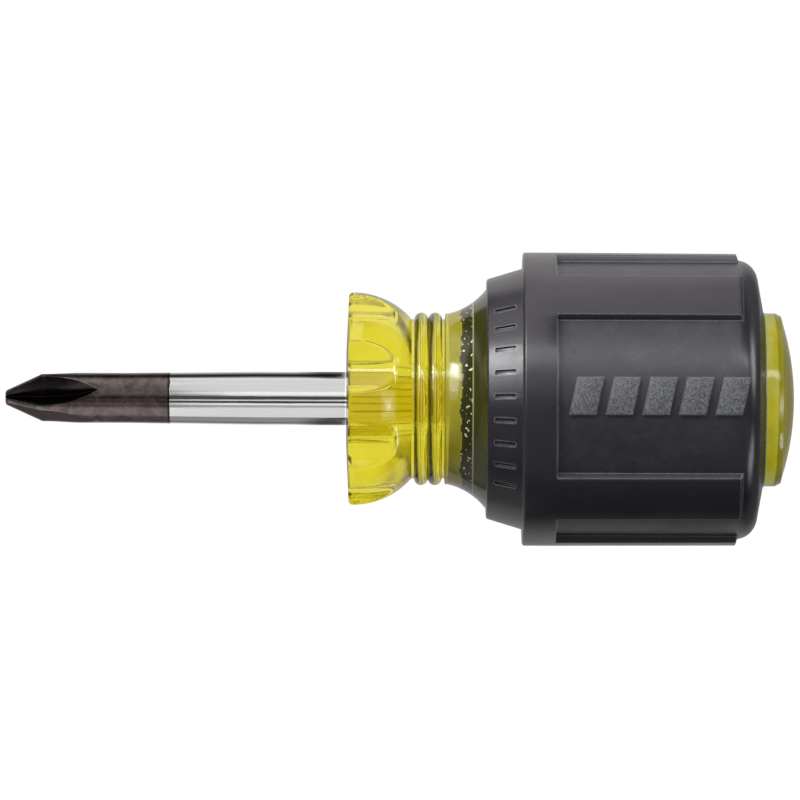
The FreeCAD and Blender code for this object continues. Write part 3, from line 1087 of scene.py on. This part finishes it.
floor_gap = 0.3 * MM
floor_seen, world_seen, world_reflected = 1.02, 1.0, 0.09
under_blade = ((-100, 0.38), (-35, 0.38), (-25, 0.30), (-20, 0.15), (-13, 0.60), (-9, 1.0), (9, 1.0))
under_blade += ((12, 0.75), (19, 0.35), (26, 0.08), (36, 0.02), (52, 0.04), (88, 0.52), (150, 1.0))
under_handle = ((-150, 0.02), (-90, 0.06), (-60, 0.40), (-38, 0.70), (-28, 0.55), (0, 0.55), (20, 0.75))
under_handle += ((30, 0.95), (40, 1.2), (65, 1.6), (150, 1.6))
deselect()
bpy.ops.mesh.primitive_plane_add(size=8, location=(0, 0, -band_r - floor_gap))
floor = bpy.context.object
floor.name = "light_table"
floor_material = bpy.data.materials.new("pale_light_table")
floor_material.use_nodes = True
floor_tree = floor_material.node_tree
floor_tree.nodes.remove(floor_tree.nodes["Principled BSDF"])
glow = add(floor_tree, "Emission", Color=(1, 1, 1, 1))
floor_x, floor_y, floor_z, floor_r = axes(floor_tree, add(floor_tree, "NewGeometry").outputs["Position"])
beside_seat = span(floor_tree, floor_x, -6 * MM, -3 * MM, 1, 0.3)
blade_part = math_node(floor_tree, "MULTIPLY", profile(floor_tree, floor_y, under_blade), beside_seat)
blade_part = math_node(floor_tree, "MULTIPLY", blade_part, span(floor_tree, floor_x, -0.6 * MM, 0, 1, 0))
past_butt = span(floor_tree, floor_x, 46 * MM, 58 * MM, 1, 0.25)
handle_part = math_node(floor_tree, "MULTIPLY", profile(floor_tree, floor_y, under_handle), past_butt)
handle_part = math_node(floor_tree, "MULTIPLY", handle_part, span(floor_tree, floor_x, -0.6 * MM, 0))
reflected = math_node(floor_tree, "ADD", blade_part, handle_part)
seen_direct = lit_from_behind(floor_tree, glow.inputs["Strength"], floor_seen, reflected)
warm = blend_colours(floor_tree, seen_direct, (1, 0.965, 0.97, 1), (1, 1, 1, 1))
floor_tree.links.new(warm, glow.inputs["Color"])
floor_tree.links.new(glow.outputs[0], floor_tree.nodes["Material Output"].inputs["Surface"])
floor.data.materials.append(floor_material)
world = bpy.data.worlds.new("studio")
bpy.context.scene.world = world
world.use_nodes = True
sky = world.node_tree.nodes["Background"]
sky.inputs["Color"].default_value = (1, 1, 1, 1)
lit_from_behind(world.node_tree, sky.inputs["Strength"], world_seen, world_reflected)


# %% Soft panels round the tool
def lights_for(name, *pieces):
    """A collection of the pieces that a set of lights may reach."""
    group = bpy.data.collections.new(name)
    for piece in pieces:
        group.objects.link(piece)
    return group


def panel(first, last, radiance, receivers, start=-0.7, end=0.7, lean=0):
    """A soft panel that faces the tool, from one angle about X to another.

    Start and end are its ends along X. Lean turns it towards +X, and the ends with it."""
    away = 0.6
    turn = math.radians((first + last) / 2)
    width = 2 * away * math.tan(math.radians(abs(last - first)) / 2)
    facing = Matrix.Rotation(-turn, 3, "X") @ Matrix.Rotation(math.radians(lean), 3, "Y")
    deselect()
    bpy.ops.object.light_add(type="AREA", location=facing @ Vector(((start + end) / 2, 0, away)))
    lamp = bpy.context.object
    lamp.rotation_euler = facing.to_euler()
    lamp.data.shape = "RECTANGLE"
    lamp.data.size = end - start
    lamp.data.size_y = width
    lamp.data.energy = radiance * math.pi * (end - start) * width
    lamp.visible_camera = False
    lamp.visible_transmission = False
    lamp.light_linking.receiver_collection = receivers
    return lamp


on_blade = lights_for("lights_on_blade", blade)
on_handle = lights_for("lights_on_handle", core, sleeve)
on_core = lights_for("lights_on_core", core)
parting = -0.052             # the shank's panels end here and the tip's begin

# Stripes on the shank
for first, last, radiance in (
    (8, 100, 0.90),
    (14, 27, 0.36),
    (-7, -13, 0.85),
    (-23, -31, 1.15),
    (-31, -40, 0.48),
    (-41, -95, 0.90),
):
    panel(first, last, radiance, on_blade, start=parting)

# Edge lights on the tip
for first, last, radiance in ((34, 98, 0.30), (62, 98, 0.90), (-46, -92, 1.2)):
    panel(first, last, radiance, on_blade, end=parting)

# The handle's warm top light, and cooler panels down its near side
panel(42, 92, 1.6, on_handle, end=0.12).data.color = (1.0, 0.94, 0.96)
for first, last, radiance in ((29, 39, 7.0), (4, 28, 0.9), (-15, 4, 0.16), (-68, -15, 0.20)):
    panel(first, last, radiance, on_handle).data.color = (0.94, 0.94, 1.0)

# Highlights on the sloping collar
for first, last, radiance, spread in (
    (38, 48, 24.0, 0.05),
    (33, 50, 8.0, 0.10),
    (12, 32, 4.8, 0.09),
    (-2, 12, 1.5, 0.07),
):
    panel(first, last, radiance, on_handle, start=-spread, end=spread, lean=-33)

# Two highlights on the rounded shoulder
panel(52, 72, 6.5, on_handle, start=-0.13, end=0.13, lean=70)
panel(-85, -67, 4.5, on_handle, start=-0.13, end=0.13, lean=58)

# Four panels one behind another, larger and dimmer, make one soft highlight in the bolster's bowl
for reach, radiance in ((3, 7.0), (6, 4.0), (10, 2.0), (14, 1.2)):
    spread = 0.009 * reach
    panel(-12 - reach, -12 + reach, radiance, on_core, start=-spread, end=spread, lean=54)

# %% [markdown]
# ## Camera
# A long lens, far above the table, shows the turned ends almost flat.

# %% Camera
lens, sensor = 405.0, 36.0
aim = Vector((6.03 * MM, -0.14 * MM, 0))
tilt = math.radians(1.3)
distance = 0.9963
deselect()
bpy.ops.object.camera_add(location=aim + distance * Vector((0, -math.sin(tilt), math.cos(tilt))))
camera = bpy.context.object
camera.data.lens = lens
camera.data.sensor_width = sensor
roll = math.radians(0.18)
camera.rotation_euler = (Matrix.Rotation(tilt, 3, "X") @ Matrix.Rotation(roll, 3, "Z")).to_euler()
bpy.context.scene.camera = camera
bpy.context.scene.view_settings.view_transform = "Standard"
